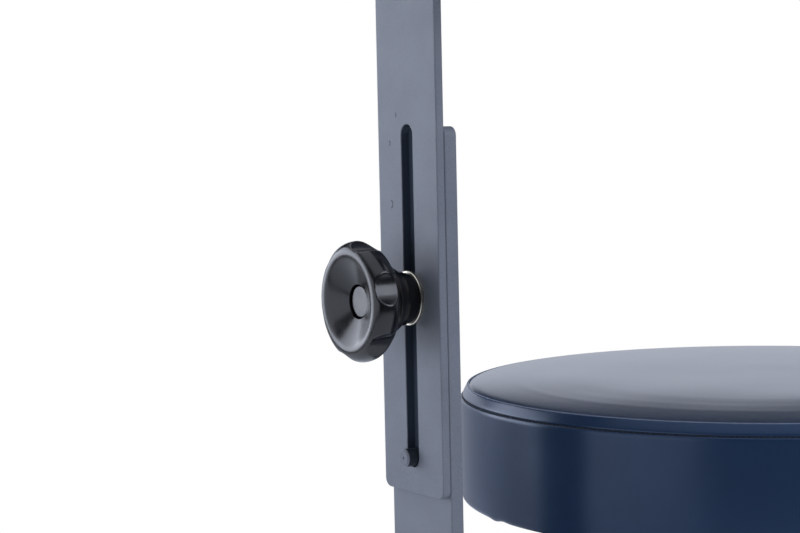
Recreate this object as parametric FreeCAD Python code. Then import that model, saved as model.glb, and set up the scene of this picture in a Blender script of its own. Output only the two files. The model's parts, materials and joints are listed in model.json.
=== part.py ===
import FreeCAD, Part
import math
import os

# A wheeled medical stool: round upholstered seat on a gas lift, with one height-adjustable armrest.
# Millimetres. The origin is on the column axis at floor level, +Z is up, and the armrest is on the -X side.
# At rest the lift is at mid height and the armrest at the top of its slot.

V = FreeCAD.Vector
UP = V(0, 0, 1)
ORIGIN = V(0, 0, 0)

# Heights of the main levels at rest
KNOB_Z = 586.0             # axis of the clamp knob
SEAM_Z = KNOB_Z - 66.8     # sewn edge of the seat's top panel
BOARD_Z = 450.0            # underside of the seat board
BAR_TOP_Z = 420.0          # top of the support bar's lower leg, under the seat plate
ARM_Z = 790.0              # top of the slotted bar's flange, under the arm pad

# Armrest upright: two flat bars clamped face to face
BAR_W = 60.0
SLOTTED_T = 5.0
SUPPORT_T = 8.0
JOINT_X = -252.0           # plane where the two bars meet
BAR_FRONT_X = JOINT_X - SLOTTED_T
BAR_CORNER_R = 5.0
BEND_R = 12.0              # inside radius of both bends
BAR_EDGE_R = 0.9           # rolled edges of both bars
SLOT_EDGE_R = 0.5
SLOT_W = 11.5
SLOT_TOP = KNOB_Z + 95.1
SLOT_LOW = KNOB_Z - 93.8
SLOTTED_LOW = KNOB_Z - 108.2
SUPPORT_TOP = KNOB_Z + 93.5
SUPPORT_END_X = -40.0      # inner end of the support bar's lower leg
FLANGE_LEN = 95.0
PIN_R = 5.0
PIN_Z = SLOT_LOW + PIN_R + 0.7
PIN_STICKS_OUT = 6.3
PIN_EDGE = 0.9             # chamfer round the pin and its centre mark
STUD_R = 5.0               # M10 clamp stud
M10_HEX = 17.0
M10_NUT_T = 8.0
STUD_FREE_END = 14.0       # stud beyond the back of the support bar
RUN_GAP = 0.05             # radial running clearance
HOLE_GAP = 0.3             # radial clearance of a bolt hole

# Clamp knob, along its own axis from the front face of the slotted bar
WASHER_R = 15.0
WASHER_T = 2.0
KNOB_R = 32.9
KNOB_WIDEST_A = 31.7
HUB_R = 14.0
HUB_A = 5.7                # end of the hub's first step
NECK_R = 14.9
NECK_A = 8.6
LIP_R = 24.5
LIP_A = 39.8
CAP_R = 8.6
CAP_A = 31.8
CAP_HOLE_R = 9.5
CAP_HOLE_A = 33.0
CAP_SEAT_A = 27.6
STUD_END_A = 22.5          # end of the stud inside the knob
FLUTES = 6
FLUTE_R = 16.7
FLUTE_FLOOR_R = 29.2
FLUTE_TURN = -14.0         # degrees from straight up to the first flute

# Seat cushion
BAND_R = 187.6
SEAM_R = 181.0
STITCH_R = 186.1
STITCH_DROP = 7.2
FOOT_R = 3.0               # rounded lower edge of the band
CROWN = 5.2
CROWN_RIM = 4.2            # height above the seam where the rounded edge meets the crown
EDGE_ROLL = 45.0           # width of that rounded edge
BOARD_R = BAND_R - 9.0
BOARD_T = 12.0
COVER_T = 1.5
HEM_R = BAND_R - 27.0

# Seat plate: a hat channel of folded sheet with a taper socket
PLATE_T = 3.0
PLATE_X = (-105.0, 75.0)
CHANNEL_HALF = 55.0
FLANGE_HALF = 85.0
SEAT_BOLT_X = (-85.0, 55.0)
SEAT_BOLT_Y = 70.0
BAR_BOLT_X = (-58.0, -90.0)
M8_R = 4.0
M8_HEX = 13.0
M8_HEAD_T = 5.3
M8_FLANGE_R = 8.0
M8_FLANGE_T = 1.6
M8_NUT_T = 6.5
TEE_BARREL_R = 5.2
TEE_PLATE_R = 11.0
SOCKET_R = 20.0
SOCKET_Z = (378.0, 432.0)
LEVER_PIVOT = (20.0, 440.0)
LEVER_PIN_R = 3.0
EAR_T = 3.0
EAR_Y = 8.0                # inside face of each lever ear
NOSE_R = 4.0
NOSE_LIFT = 1.0            # nose axis above the pivot
LEVER_R = 4.0
LEVER_HALF = 7.0           # half width of the rocker
LEVER_PATH = ((34.0, 439.0), (75.0, 430.0), (112.0, 414.0), (160.0, 411.0), (196.0, 410.0))
LEVER_BEND = 26.0

# Gas lift
STAND_R = 25.0
STAND_Z = (68.0, 300.0)
STAND_T = 2.0
STAND_FLOOR_T = 3.0
TUBE_R = 14.0
TUBE_T = 1.5
TUBE_LOW = 150.0
TUBE_TIP_R = 13.2
ROD_R = 5.0
ROD_FOOT_R = 4.0
CLIP_R = 8.5
CLIP_BITE = 0.6            # depth of the clip groove
RACE_Z = 77.0              # top of the thrust bearing
RACE_R = 13.0
RACE_T = 1.5
BALL_R = 1.5
BALL_CIRCLE = 9.0
BALLS = 10
PISTON_Z = (238.0, 252.0)
BUSH_LOW = 236.0
RELEASE_R = 4.0

# Five-star base and castors
LEGS = 5
STEM_CIRCLE = 275.0
HUB_Z = (70.0, 122.0)
HUB_OUT_R = 37.0
TIP_Z = 62.0
TIP_R = 17.0
LEG_STATIONS = (           # distance from the axis, half width, underside, crest, arch
    (28.0, 19.5, 76.0, 116.0, 9.0),
    (105.0, 18.5, 74.0, 107.0, 8.5),
    (190.0, 16.5, 69.0, 95.0, 8.0),
    (STEM_CIRCLE, 14.5, 64.0, 86.0, 7.0),
)
LEG_WALL = 4.5
RIB_T = 3.5
RIB_LOW = 71.0             # lower edge of the ribs
CROSS_RIBS = (95.0, 150.0, 205.0)
STEM_R = 5.5
STEM_COLLAR_R = 9.0
STEM_Z = (39.0, 82.0)
WHEEL_R = 25.0
TRAIL = 20.0
WEB_HALF = 7.0
WHEEL_Y = (7.5, 24.5)
AXLE_R = 4.0
HOOD_R = 29.0
HOOD_TOP = 60.0
CASTOR_TURNS = (90.0, 12.0, 205.0, 155.0, -12.0)   # way each castor trails, degrees from +X

# Arm pad: a crescent about the column axis
PAD_R = 213.0
PAD_HALF = 50.0
PAD_SPAN = 30.0            # degrees each side of the upright
PAD_H = 47.0
PAD_BOARD_T = 12.0
PAD_BOARD_HALF = 43.0
ARM_SCREW_X = (-226.0, -184.0)
ARM_SCREW_Y = 18.0
ARM_SCREW_R = 2.2


def profile(start, *steps):
    """A closed face in the XZ plane. A step (x, z) is a line, and (xm, zm, x, z) an arc through (xm, zm)."""
    edges = []
    here = V(start[0], 0, start[1])
    for step in (*steps, start):
        end = V(step[-2], 0, step[-1])
        if len(step) == 4:
            edges.append(Part.Arc(here, V(step[0], 0, step[1]), end).toShape())
        elif end.distanceToPoint(here) > 1e-6:
            edges.append(Part.LineSegment(here, end).toShape())
        here = end
    return Part.Face(Part.Wire(edges))


def turned(start, *steps):
    """A solid of revolution about Z from a profile in (radius, height)."""
    return profile(start, *steps).revolve(ORIGIN, UP, 360)


def dome(rim_r, rim_z, crest):
    """A profile step from the rim of a dome to its crest on the axis, as one arc centred on that axis."""
    rise = crest - rim_z
    sphere = (rim_r ** 2 + rise ** 2) / (2 * rise)
    middle_r = rim_r / 2
    return (middle_r, crest - sphere + math.sqrt(sphere ** 2 - middle_r ** 2), 0, crest)


def ring(inner, outer, low, high):
    return turned((inner, low), (outer, low), (outer, high), (inner, high))


def rod(radius, low, high, x=0.0, y=0.0):
    return Part.makeCylinder(radius, high - low, V(x, y, low))


def box(x, y, z):
    """A box from three (low, high) pairs."""
    size = [high - low for low, high in (x, y, z)]
    return Part.makeBox(*size, V(x[0], y[0], z[0]))


def hexagon(across_flats, low, high, x=0.0, y=0.0):
    corner = across_flats / math.sqrt(3)
    angles = [math.radians(60 * k) for k in range(7)]
    loop = [V(x + corner * math.cos(a), y + corner * math.sin(a), low) for a in angles]
    return Part.Face(Part.makePolygon(loop)).extrude(V(0, 0, high - low))


def joined(first, *others):
    return first.fuse(list(others)).removeSplitter()


def on_clamp_axis(shape):
    """From the knob's own frame, with its axis along +Z and +X upwards, to its place on the upright."""
    placed = shape.copy()
    placed.rotate(ORIGIN, V(0, 1, 0), -90)
    placed.translate(V(BAR_FRONT_X, 0, KNOB_Z))
    return placed


def along_x(radius, x_low, x_high, z):
    """A round bar or hole along X on the upright's middle plane."""
    return Part.makeCylinder(radius, x_high - x_low, V(x_low, 0, z), V(1, 0, 0))


# Five-star base

def leg_section(x, half, low, high, arch):
    """A cross-section of a leg at x: upright sides and an arched top."""
    side = high - arch
    corners = [V(x, -half, low), V(x, half, low), V(x, half, side), V(x, -half, side)]
    lines = [Part.LineSegment(corners[i], corners[j]).toShape() for i, j in ((0, 1), (1, 2), (3, 0))]
    top = Part.Arc(corners[2], V(x, 0, high), corners[3]).toShape()
    return Part.Wire([lines[0], lines[1], top, lines[2]])


def leg():
    """One hollow leg along +X, open below, with a lengthwise rib and cross ribs."""
    outside = Part.makeLoft([leg_section(*station) for station in LEG_STATIONS], True)
    cavity_sections = [
        leg_section(x, half - LEG_WALL, low - 2, high - LEG_WALL, arch)
        for x, half, low, high, arch in LEG_STATIONS
    ]
    reach = (HUB_OUT_R + 4, STEM_CIRCLE - TIP_R)
    cavity = Part.makeLoft(cavity_sections, True).common(box(reach, (-40, 40), (50, 130)))
    ribs = [box(reach, (-RIB_T / 2, RIB_T / 2), (50, 130))]
    ribs += [box((x - RIB_T / 2, x + RIB_T / 2), (-40, 40), (50, 130)) for x in CROSS_RIBS]
    lower_lip = box(reach, (-40, 40), (50, RIB_LOW))
    web = ribs[0].fuse(ribs[1:]).common(cavity).cut(lower_lip)
    return outside.cut(cavity.cut(web))


def star_base():
    hub = turned(
        (0, HUB_Z[0]), (HUB_OUT_R - 3, HUB_Z[0]), (HUB_OUT_R, HUB_Z[0] + 3), (HUB_OUT_R, 100),
        (HUB_OUT_R - 1.2, 112, HUB_OUT_R - 5, 118), (STAND_R + 4, HUB_Z[1]), (0, HUB_Z[1]),
    )
    tip = turned(
        (0, TIP_Z), (TIP_R - 1, TIP_Z), (TIP_R, TIP_Z + 1), (TIP_R, TIP_Z + 18),
        (TIP_R - 2.5, TIP_Z + 24, TIP_R - 8, TIP_Z + 26.5), (0, TIP_Z + 27.5),
    )
    tip.translate(V(STEM_CIRCLE, 0, 0))
    socket = rod(STEM_R, TIP_Z - 1, STEM_Z[1] + 0.5, STEM_CIRCLE)
    arm = joined(leg(), tip).cut(socket)
    arms = []
    for k in range(LEGS):
        one = arm.copy()
        one.rotate(ORIGIN, UP, k * 360 / LEGS)
        arms.append(one)
    return joined(hub, *arms).cut(stand_taper())


def stand_taper():
    """Outside of the stand tube: tapered where it is driven into the hub."""
    low, high = STAND_Z
    return turned((0, low), (STAND_R - 0.8, low), (STAND_R, HUB_Z[1]), (STAND_R, high), (0, high))


def castor_stems():
    """Grip-ring stems, pressed into the leg ends."""
    low, high = STEM_Z
    groove = (high - 8, high - 6)
    stems = []
    for k in range(LEGS):
        stem = turned(
            (0, low), (STEM_R - 1, low), (STEM_R, low + 1), (STEM_R, HOOD_TOP + 0.3),
            (STEM_COLLAR_R, HOOD_TOP + 0.3), (STEM_COLLAR_R, TIP_Z), (STEM_R, TIP_Z), (STEM_R, groove[0]),
            (STEM_R - 0.9, groove[0]), (STEM_R - 0.9, groove[1]), (STEM_R, groove[1]), (STEM_R, high - 1),
            (STEM_R - 1, high), (0, high),
        )
        stem.translate(V(STEM_CIRCLE, 0, 0))
        stem.rotate(ORIGIN, UP, k * 360 / LEGS)
        stems.append(stem)
    return Part.makeCompound(stems)


# Castors, modelled with the stem on the Z axis and the wheels trailing along +X

def about_axle(shape):
    """From a solid turned about Z to the axle, with its +Z along +Y."""
    placed = shape.copy()
    placed.rotate(ORIGIN, V(1, 0, 0), -90)
    placed.translate(V(TRAIL, 0, WHEEL_R))
    return placed


def castor_hood():
    width = 2 * WHEEL_Y[1]
    drum = Part.makeCylinder(HOOD_R, width, V(TRAIL, -WHEEL_Y[1], WHEEL_R), V(0, 1, 0))
    bay = about_axle(ring(0, HOOD_R - 2.5, WEB_HALF, WHEEL_Y[1] + 2))
    bays = bay.fuse(bay.mirror(ORIGIN, V(0, 1, 0)))
    shell = drum.cut(bays).common(box((-20, 60), (-30, 30), (36, 70)))
    web = about_axle(rod(HOOD_R - 1, -WEB_HALF, WEB_HALF)).common(box((-20, 60), (-30, 30), (22, 70)))
    axle_boss = about_axle(rod(11, -WEB_HALF, WEB_HALF))
    stem_boss = turned((0, 33), (9, 33), (9, HOOD_TOP - 1), (8, HOOD_TOP), (0, HOOD_TOP)).cut(bays)
    body = joined(shell, web, axle_boss, stem_boss)
    return body.cut(rod(STEM_R + RUN_GAP, STEM_Z[0] - 0.5, 70)).cut(about_axle(rod(AXLE_R, -30, 30)))


def castor_axle():
    reach = WHEEL_Y[1] - 3.7
    return about_axle(rod(AXLE_R, -reach, reach))


def castor_wheel():
    """The wheel on the castor's +Y side: rounded tread, dished outer face with a hub cap, hollow behind."""
    inner, outer = WHEEL_Y
    bore = AXLE_R + RUN_GAP
    wheel = turned(
        (bore, inner), (8, inner), (9, inner + 8), (19, inner + 8), (20, inner + 0.5), (23, inner + 0.5),
        (24.4, inner + 1.1, WHEEL_R, inner + 2.5), (WHEEL_R, outer - 5), (23.8, outer - 1.3, 20.8, outer),
        (18.6, outer), (17.6, outer - 2), (9.5, outer - 2), (8.5, outer - 0.6), (5, outer - 0.2), (0, outer),
        (0, outer - 3.5), (bore, outer - 3.5),
    )
    return about_axle(wheel)


def at_castor(shape, k):
    """From a castor's own frame to the end of leg k."""
    angle = math.radians(k * 360 / LEGS)
    placed = shape.copy()
    placed.rotate(ORIGIN, UP, CASTOR_TURNS[k])
    placed.translate(V(STEM_CIRCLE * math.cos(angle), STEM_CIRCLE * math.sin(angle), 0))
    return placed


# Gas lift

def stand_tube():
    low, high = STAND_Z
    inside = STAND_R - STAND_T
    floor = low + STAND_FLOOR_T
    bore = turned((0, floor), (inside - 0.8, floor), (inside, HUB_Z[1]), (inside, high + 1), (0, high + 1))
    return stand_taper().cut(bore).cut(rod(ROD_FOOT_R + RUN_GAP, low - 1, floor + 1))


def guide_bush():
    high = STAND_Z[1]
    inside = TUBE_R + RUN_GAP
    return turned(
        (inside, BUSH_LOW), (STAND_R - STAND_T, BUSH_LOW), (STAND_R - STAND_T, high), (STAND_R, high),
        (STAND_R, high + 2), (STAND_R - 2, high + 4), (inside, high + 4),
    )


def thrust_race_lower():
    return ring(ROD_FOOT_R + 1, RACE_R, STAND_Z[0] + STAND_FLOOR_T, RACE_Z - RACE_T - 2 * BALL_R)


def thrust_balls():
    height = RACE_Z - RACE_T - BALL_R
    angles = [2 * math.pi * k / BALLS for k in range(BALLS)]
    spots = [V(BALL_CIRCLE * math.cos(a), BALL_CIRCLE * math.sin(a), height) for a in angles]
    return Part.makeCompound([Part.makeSphere(BALL_R, spot) for spot in spots])


def thrust_race_upper():
    return ring(ROD_FOOT_R, RACE_R, RACE_Z - RACE_T, RACE_Z)


def piston_rod():
    foot, groove_top = STAND_Z[0] - 5, STAND_Z[0] - 1.5
    groove_r = ROD_FOOT_R - CLIP_BITE
    return turned(
        (0, foot), (groove_r, foot), (groove_r, groove_top), (ROD_FOOT_R, groove_top), (ROD_FOOT_R, RACE_Z),
        (ROD_R, RACE_Z), (ROD_R, PISTON_Z[0]), (ROD_FOOT_R, PISTON_Z[0]), (ROD_FOOT_R, PISTON_Z[1]),
        (0, PISTON_Z[1]),
    )


def rod_clip():
    """Open spring clip in the groove at the rod's foot."""
    level = STAND_Z[0] - 3.5
    clip = ring(ROD_FOOT_R - CLIP_BITE, CLIP_R, level, level + 1.5)
    return clip.cut(box((0, CLIP_R + 1), (-2.4, 2.4), (level - 1, level + 3)))


def piston():
    low, high = PISTON_Z
    outer = TUBE_R - TUBE_T - RUN_GAP
    floor = outer - 1.2
    groove = (low + 5, low + 8)
    return turned(
        (ROD_FOOT_R, low), (outer, low), (outer, groove[0]), (floor, groove[0]), (floor, groove[1]),
        (outer, groove[1]), (outer, high), (ROD_FOOT_R, high),
    )


def pressure_tube():
    low, (seat_low, seat_top) = TUBE_LOW, SOCKET_Z
    outside = turned((0, low), (TUBE_R, low), (TUBE_R, seat_low), (TUBE_TIP_R, seat_top), (0, seat_top))
    chamber = rod(TUBE_R - TUBE_T, low - 1, seat_low - 4)
    valve_bore = rod(RELEASE_R + RUN_GAP, seat_low + 14, seat_top + 1)
    return outside.cut(chamber).cut(valve_bore)


def rod_gland():
    return ring(ROD_R + RUN_GAP, TUBE_R - TUBE_T, TUBE_LOW, TUBE_LOW + 14)


def release_pin():
    top = LEVER_PIVOT[1] + NOSE_LIFT - NOSE_R - 0.15
    low = SOCKET_Z[0] + 18
    return turned((0, low), (RELEASE_R, low), (RELEASE_R, top - 1), (RELEASE_R - 1, top), (0, top))


# Seat plate and release lever

def seat_plate():
    """Folded hat channel along X, with ears for the lever."""
    low, high, wall = BAR_TOP_Z, BOARD_Z, PLATE_T
    inner = CHANNEL_HALF - wall
    half = [
        (0, low), (CHANNEL_HALF - 4, low), (CHANNEL_HALF - 1.2, low + 1.2, CHANNEL_HALF, low + 4),
        (CHANNEL_HALF, high - wall), (FLANGE_HALF, high - wall), (FLANGE_HALF, high), (inner, high),
        (inner, low + 4), (inner - 0.3, low + wall + 0.3, inner - 1, low + wall), (0, low + wall),
    ]
    section = profile(*half)
    section.rotate(ORIGIN, UP, 90)
    section.translate(V(PLATE_X[0], 0, 0))
    side = section.extrude(V(PLATE_X[1] - PLATE_X[0], 0, 0))
    channel = joined(side, side.mirror(ORIGIN, V(0, 1, 0)))
    pivot_x, pivot_z = LEVER_PIVOT
    ear_x, ear_z = (pivot_x - 8, pivot_x + 8), (low + wall - 1, pivot_z + 7)
    ears = [box(ear_x, (y, y + EAR_T), ear_z) for y in (-EAR_Y - EAR_T, EAR_Y)]
    holes = [at_seat_bolts(rod(M8_R + HOLE_GAP, high - 10, high + 5))]
    holes += [rod(M8_R + HOLE_GAP, low - 5, low + 10, x) for x in BAR_BOLT_X]
    holes.append(rod(SOCKET_R, low - 5, SOCKET_Z[1]))
    holes.append(lever_pin_bar(LEVER_PIN_R, 20))
    return joined(channel, *ears).cut(Part.makeCompound(holes))


def lever_pin_bar(radius, half):
    x, z = LEVER_PIVOT
    return Part.makeCylinder(radius, 2 * half, V(x, -half, z), V(0, 1, 0))


def lever_pivot_pin():
    return lever_pin_bar(LEVER_PIN_R, EAR_Y + EAR_T + 1.5)


def taper_socket():
    low, high = SOCKET_Z
    return turned(
        (TUBE_R, low), (SOCKET_R - 1, low), (SOCKET_R, low + 1), (SOCKET_R, high), (TUBE_TIP_R, high),
    )


def rounded_path(points, radius):
    """Straight runs in the XZ plane joined by tangent arcs."""
    corners = [V(x, 0, z) for x, z in points]
    edges = []
    here = corners[0]
    for before, corner, after in zip(corners, corners[1:], corners[2:]):
        back = (before - corner).normalize()
        on = (after - corner).normalize()
        half = back.getAngle(on) / 2
        cut = radius / math.tan(half)
        middle = corner + (back + on).normalize() * (radius / math.sin(half) - radius)
        first, last = corner + back * cut, corner + on * cut
        edges.append(Part.LineSegment(here, first).toShape())
        edges.append(Part.Arc(first, middle, last).toShape())
        here = last
    edges.append(Part.LineSegment(here, corners[-1]).toShape())
    return Part.Wire(edges)


def release_lever():
    """Flat rocker on the pivot, with a rounded nose over the release pin and a bent round handle."""
    x, z = LEVER_PIVOT
    nose = Part.makeCylinder(NOSE_R, 2 * LEVER_HALF, V(0, -LEVER_HALF, z + NOSE_LIFT), V(0, 1, 0))
    arm = box((0, x + 22), (-LEVER_HALF, LEVER_HALF), (z - 3, z + 5))
    path = rounded_path(LEVER_PATH, LEVER_BEND)
    start, end = (V(px, 0, pz) for px, pz in LEVER_PATH[:2])
    handle = path.makePipeShell([Part.Wire(Part.makeCircle(LEVER_R, start, end - start))], True, False)
    return joined(arm, nose, Part.Solid(handle)).cut(lever_pin_bar(LEVER_PIN_R + RUN_GAP, 20))


def lever_grip():
    """Moulded paddle pushed over the end of the handle."""
    end_x, end_z = LEVER_PATH[-1]
    blade = box((end_x - 42, end_x + 16), (-13, 13), (end_z - 6, end_z + 7))
    upright = [e for e in blade.Edges if abs(e.tangentAt(e.FirstParameter).z) > 0.9]
    blade = blade.makeFillet(11, upright)
    flat = [e for e in blade.Edges if abs(e.tangentAt(e.FirstParameter).z) < 0.1]
    blade = blade.makeFillet(4, flat)
    return blade.cut(release_lever())


# Seat cushion

def cushion_side(inset):
    """Half outline of the seat cushion, drawn in by inset: crown, sewn edge, stitched strip and band."""
    seam_r, seam_z = SEAM_R - inset, SEAM_Z - inset
    stitch_r, stitch_z = STITCH_R - inset, SEAM_Z - STITCH_DROP
    band, foot = BAND_R - inset, BOARD_Z - COVER_T + inset
    rim_r, rim_z = seam_r - EDGE_ROLL, seam_z + CROWN_RIM
    return (
        (0, foot), (band - FOOT_R, foot),
        (band - 0.3 * FOOT_R, foot + 0.3 * FOOT_R, band - 0.5, foot + FOOT_R),
        (band, foot + 30, stitch_r, stitch_z), (stitch_r - 0.7, stitch_z + 4 - inset / 2, seam_r, seam_z),
        (seam_r - 0.3 * EDGE_ROLL, seam_z + 0.56 * CROWN_RIM, rim_r, rim_z),
        dome(rim_r, rim_z, seam_z + CROWN),
    )


def seat_inside():
    return turned(*cushion_side(COVER_T))


def seat_cover():
    """Sewn vinyl skin, turned under the board's edge."""
    return turned(*cushion_side(0)).cut(seat_inside()).cut(rod(HEM_R, BOARD_Z - 10, BOARD_Z + 1))


def seat_board():
    return rod(BOARD_R, BOARD_Z, BOARD_Z + BOARD_T).cut(tee_nut_barrels())


def seat_foam():
    return seat_inside().cut(rod(BOARD_R, BOARD_Z - 1, BOARD_Z + BOARD_T)).cut(tee_nuts())


def at_seat_bolts(shape):
    spots = [V(x, y, 0) for x in SEAT_BOLT_X for y in (-SEAT_BOLT_Y, SEAT_BOLT_Y)]
    return Part.makeCompound([shape.translated(spot) for spot in spots])


def tee_nut_barrels():
    return at_seat_bolts(rod(TEE_BARREL_R, BOARD_Z - 1, BOARD_Z + BOARD_T + 1))


def tee_nuts():
    low, top, bore = BOARD_Z + 1, BOARD_Z + BOARD_T, M8_R + RUN_GAP
    plate = (TEE_PLATE_R, top + 1.5)
    return at_seat_bolts(turned(
        (bore, low), (TEE_BARREL_R, low), (TEE_BARREL_R, top), (plate[0], top), plate, (bore, plate[1]),
    ))


def flange_bolt(under, end):
    """M8 hexagon bolt on the Z axis, its flange against the level under and its shank up to end."""
    flange_low = under - M8_FLANGE_T
    head = hexagon(M8_HEX, flange_low - M8_HEAD_T, flange_low)
    return joined(head, rod(M8_FLANGE_R, flange_low, under), rod(M8_R, under, end))


def seat_bolts():
    return at_seat_bolts(flange_bolt(BOARD_Z - PLATE_T, BOARD_Z + BOARD_T))


# Armrest upright

def soften(shape, radius, wanted):
    """Round the edges that the test wanted(edge) picks."""
    return shape.makeFillet(radius, [e for e in shape.Edges if wanted(e)])


def runs_along_x(edge):
    return len(edge.Vertexes) == 2 and abs(edge.tangentAt(edge.FirstParameter).x) > 0.99


def on_bar_rim(edge):
    """An edge along one of the bar's two long sides, or round a corner of its free end."""
    narrow = edge.BoundBox.YLength < BAR_CORNER_R + 0.1
    outside = abs(edge.CenterOfMass.y) > BAR_W / 2 - BAR_CORNER_R
    return narrow and outside and not runs_along_x(edge)


def support_bar():
    """Flat bar bent up from under the seat plate to the inside of the slotted bar."""
    inner_x, outer_x = JOINT_X + SUPPORT_T, JOINT_X
    top, low = BAR_TOP_Z, BAR_TOP_Z - SUPPORT_T
    bend_x, bend_z = inner_x + BEND_R, top + BEND_R
    outer, inner = ((BEND_R + t) * math.sqrt(0.5) for t in (SUPPORT_T, 0))
    side = profile(
        (SUPPORT_END_X, low), (bend_x, low), (bend_x - outer, bend_z - outer, outer_x, bend_z),
        (outer_x, SUPPORT_TOP), (inner_x, SUPPORT_TOP), (inner_x, bend_z),
        (bend_x - inner, bend_z - inner, bend_x, top), (SUPPORT_END_X, top),
    )
    side.translate(V(0, -BAR_W / 2, 0))
    bar = side.extrude(V(0, BAR_W, 0))
    bar = soften(bar, BAR_CORNER_R, lambda e: runs_along_x(e) and e.CenterOfMass.z > SUPPORT_TOP - 1)
    bar = soften(bar, BAR_EDGE_R, lambda e: on_bar_rim(e) or e.BoundBox.ZMin > SUPPORT_TOP - 0.1)
    through = (outer_x - 5, inner_x + 5)
    holes = [along_x(STUD_R + 0.5, *through, KNOB_Z), along_x(PIN_R, *through, PIN_Z)]
    holes += [rod(M8_R + HOLE_GAP, low - 5, top + 5, x) for x in BAR_BOLT_X]
    return bar.cut(Part.makeCompound(holes))


def slotted_bar():
    """Flat bar with the height slot, bent inwards at the top to carry the arm pad."""
    inner_x, outer_x = JOINT_X, BAR_FRONT_X
    under, top = ARM_Z - SLOTTED_T, ARM_Z
    bend_x, bend_z = inner_x + BEND_R, under - BEND_R
    outer, inner = ((BEND_R + t) * math.sqrt(0.5) for t in (SLOTTED_T, 0))
    end_x = outer_x + FLANGE_LEN
    side = profile(
        (outer_x, SLOTTED_LOW), (outer_x, bend_z), (bend_x - outer, bend_z + outer, bend_x, top),
        (end_x, top), (end_x, under), (bend_x, under), (bend_x - inner, bend_z + inner, inner_x, bend_z),
        (inner_x, SLOTTED_LOW),
    )
    side.translate(V(0, -BAR_W / 2, 0))
    bar = side.extrude(V(0, BAR_W, 0))
    bar = soften(bar, BAR_CORNER_R, lambda e: runs_along_x(e) and e.CenterOfMass.z < SLOTTED_LOW + 1)
    bar = soften(bar, BAR_EDGE_R, lambda e: on_bar_rim(e) or e.BoundBox.ZMax < SLOTTED_LOW + 0.1)
    end_r = SLOT_W / 2
    x = (outer_x - 5, inner_x + 5)
    slot = box(x, (-end_r, end_r), (SLOT_LOW + end_r, SLOT_TOP - end_r))
    slot = slot.fuse([along_x(end_r, *x, SLOT_LOW + end_r), along_x(end_r, *x, SLOT_TOP - end_r)])
    bar = bar.cut(slot)
    in_front = outer_x + 0.1
    bar = soften(bar, SLOT_EDGE_R, lambda e: e.BoundBox.XMax < in_front and abs(e.CenterOfMass.y) < SLOT_W)
    return bar.cut(at_arm_screws(rod(ARM_SCREW_R + HOLE_GAP, under - 5, top + 5)))


def guide_pin():
    """Stop pin fixed in the support bar, riding in the slot."""
    length = SUPPORT_T + SLOTTED_T + PIN_STICKS_OUT
    edge = length - PIN_EDGE
    pin = turned((0, 0), (PIN_R, 0), (PIN_R, edge), (PIN_R - PIN_EDGE, length), (PIN_EDGE, length), (0, edge))
    pin.rotate(ORIGIN, V(0, 1, 0), -90)
    pin.translate(V(JOINT_X + SUPPORT_T, 0, PIN_Z))
    return pin


def clamp_nut():
    nut = hexagon(M10_HEX, 0, M10_NUT_T).cut(rod(STUD_R + RUN_GAP, -1, M10_NUT_T + 1))
    nut.rotate(ORIGIN, V(0, 1, 0), 90)
    nut.translate(V(JOINT_X + SUPPORT_T, 0, KNOB_Z))
    return nut


def bar_bolts():
    bolt = flange_bolt(BAR_TOP_Z - SUPPORT_T, BAR_TOP_Z + PLATE_T + M8_NUT_T + 4.5)
    return Part.makeCompound([bolt.translated(V(x, 0, 0)) for x in BAR_BOLT_X])


def bar_nuts():
    low = BAR_TOP_Z + PLATE_T
    nut = hexagon(M8_HEX, low, low + M8_NUT_T).cut(rod(M8_R, low - 1, low + M8_NUT_T + 1))
    return Part.makeCompound([nut.translated(V(x, 0, 0)) for x in BAR_BOLT_X])


# Clamp knob

def knob_body():
    """Fluted hand knob with a dished front, a flared back, a stepped hub and a seat for the centre cap."""
    low, end = WASHER_T, STUD_END_A
    hub = [(HUB_R - 0.5, low), (HUB_R, low + 0.5), (HUB_R, HUB_A)]
    neck = [(NECK_R, HUB_A + 0.4), (NECK_R + 0.2, NECK_A)]
    back = [(16.1, 10.2), (21.2, 17.9), (29.0, 24.5), (31.7, 27.5, KNOB_R, KNOB_WIDEST_A)]
    rim = [(31.5, 37.1, 27.8, 40.1), (26.2, 40.45, LIP_R, LIP_A)]
    dish = [(CAP_HOLE_R, CAP_HOLE_A), (CAP_HOLE_R, CAP_SEAT_A), (0, CAP_SEAT_A)]
    blank = turned((0, end), (STUD_R, end), (STUD_R, low), *hub, *neck, *back, *rim, *dish)
    return on_clamp_axis(blank.cut(flute_cutters()))


def flute_cutters():
    """Round bars beside the knob, one for each flute."""
    out = FLUTE_FLOOR_R + FLUTE_R
    angles = [math.radians(FLUTE_TURN + k * 360 / FLUTES) for k in range(FLUTES)]
    return [rod(FLUTE_R, WASHER_T, LIP_A + 5, out * math.cos(a), out * math.sin(a)) for a in angles]


def knob_cap():
    low, top = CAP_SEAT_A, CAP_A
    return on_clamp_axis(turned((0, low), (CAP_R, low), (CAP_R, top - 0.5), (CAP_R - 0.5, top), (0, top)))


def knob_stud():
    low, top = -(SLOTTED_T + SUPPORT_T + STUD_FREE_END), STUD_END_A
    return on_clamp_axis(turned((0, low), (STUD_R - 1, low), (STUD_R, low + 1), (STUD_R, top), (0, top)))


def clamp_washer():
    bore, edge = STUD_R + 0.25, 0.3
    return on_clamp_axis(turned(
        (bore, 0), (WASHER_R, 0), (WASHER_R, WASHER_T - edge), (WASHER_R - edge, WASHER_T), (bore, WASHER_T),
    ))


# Arm pad

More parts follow.
